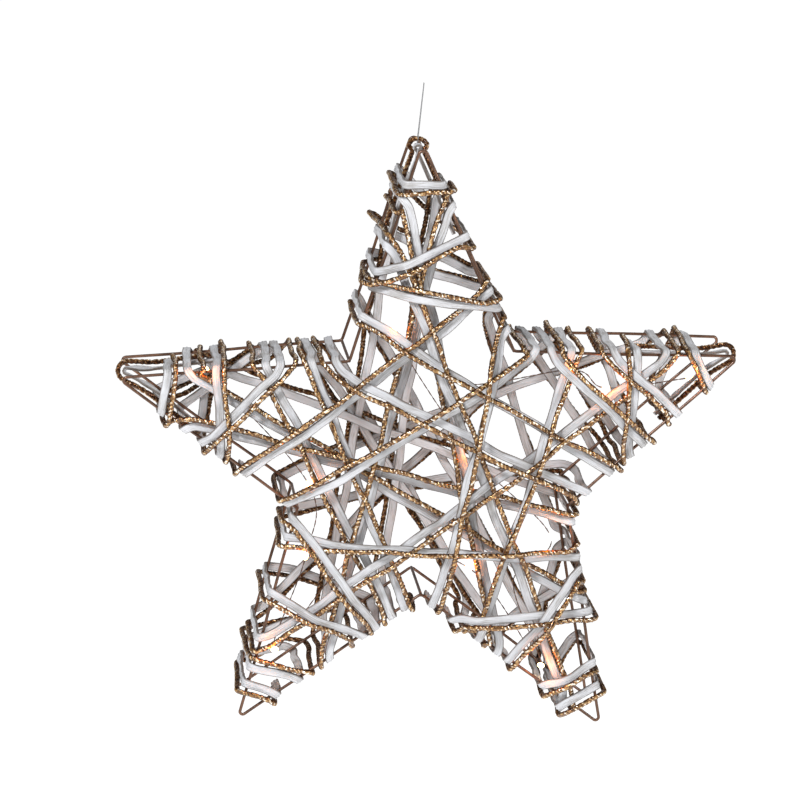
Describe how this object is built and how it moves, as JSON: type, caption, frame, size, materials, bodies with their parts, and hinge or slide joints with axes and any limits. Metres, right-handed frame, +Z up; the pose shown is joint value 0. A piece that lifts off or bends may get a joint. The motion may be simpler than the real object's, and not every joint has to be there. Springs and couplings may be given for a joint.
{
  "type": "wire star ornament",
  "caption": "Hanging five-point star of bent wire, wound with white paper cord and gold cord, with micro lights inside.",
  "frame": {"origin": "top bend of the hanging loop, where a hook or nail holds it", "axes": "+Z up, the star lies in the XZ plane, its front faces -Y, its arms reach along X and Z"},
  "size_m": [0.4008, 0.1413, 0.4137],
  "materials": {
    "wire": "satin copper brown lacquer",
    "paper_cord": "matt, creased lengthwise",
    "gold_cord": "gold glitter on a twisted cord",
    "micro_light": "clear bead, lit warm amber",
    "clear_line": "clear nylon line"
  },
  "bodies": {
    "root": {"back_star_wire": "wire", "depth_rod_bottom": "wire", "depth_rod_lower_left": "wire", "depth_rod_right": "wire", "depth_rod_upper_left": "wire", "depth_rod_upper_right": "wire", "front_star_wire": "wire", "gold_cord_body_cross": "gold_cord", "gold_cord_body_long": "gold_cord", "gold_cord_left_arm": "gold_cord", "gold_cord_left_tip": "gold_cord", "gold_cord_low_left_arm": "gold_cord", "gold_cord_low_right_arm": "gold_cord", "gold_cord_right_arm": "gold_cord", "gold_cord_right_tip": "gold_cord", "gold_cord_top_arm": "gold_cord", "gold_cord_top_tip": "gold_cord", "hanging_loop": "clear_line", "light_wire_01": "wire", "light_wire_02": "wire", "light_wire_03": "wire", "light_wire_04": "wire", "light_wire_05": "wire", "light_wire_06": "wire", "light_wire_07": "wire", "light_wire_08": "wire", "light_wire_09": "wire", "light_wire_10": "wire", "light_wire_11": "wire", "micro_light_01": "micro_light", "micro_light_02": "micro_light", "micro_light_03": "micro_light", "micro_light_04": "micro_light", "micro_light_05": "micro_light", "micro_light_06": "micro_light", "micro_light_07": "micro_light", "micro_light_08": "micro_light", "micro_light_09": "micro_light", "micro_light_10": "micro_light", "micro_light_11": "micro_light", "micro_light_12": "micro_light", "paper_cord_body_cross": "paper_cord", "paper_cord_body_long": "paper_cord", "paper_cord_left_arm": "paper_cord", "paper_cord_left_tip": "paper_cord", "paper_cord_low_left_arm": "paper_cord", "paper_cord_low_right_arm": "paper_cord", "paper_cord_right_arm": "paper_cord", "paper_cord_right_tip": "paper_cord", "paper_cord_top_arm": "paper_cord", "paper_cord_top_tip": "paper_cord"}
  },
  "joints": []
}
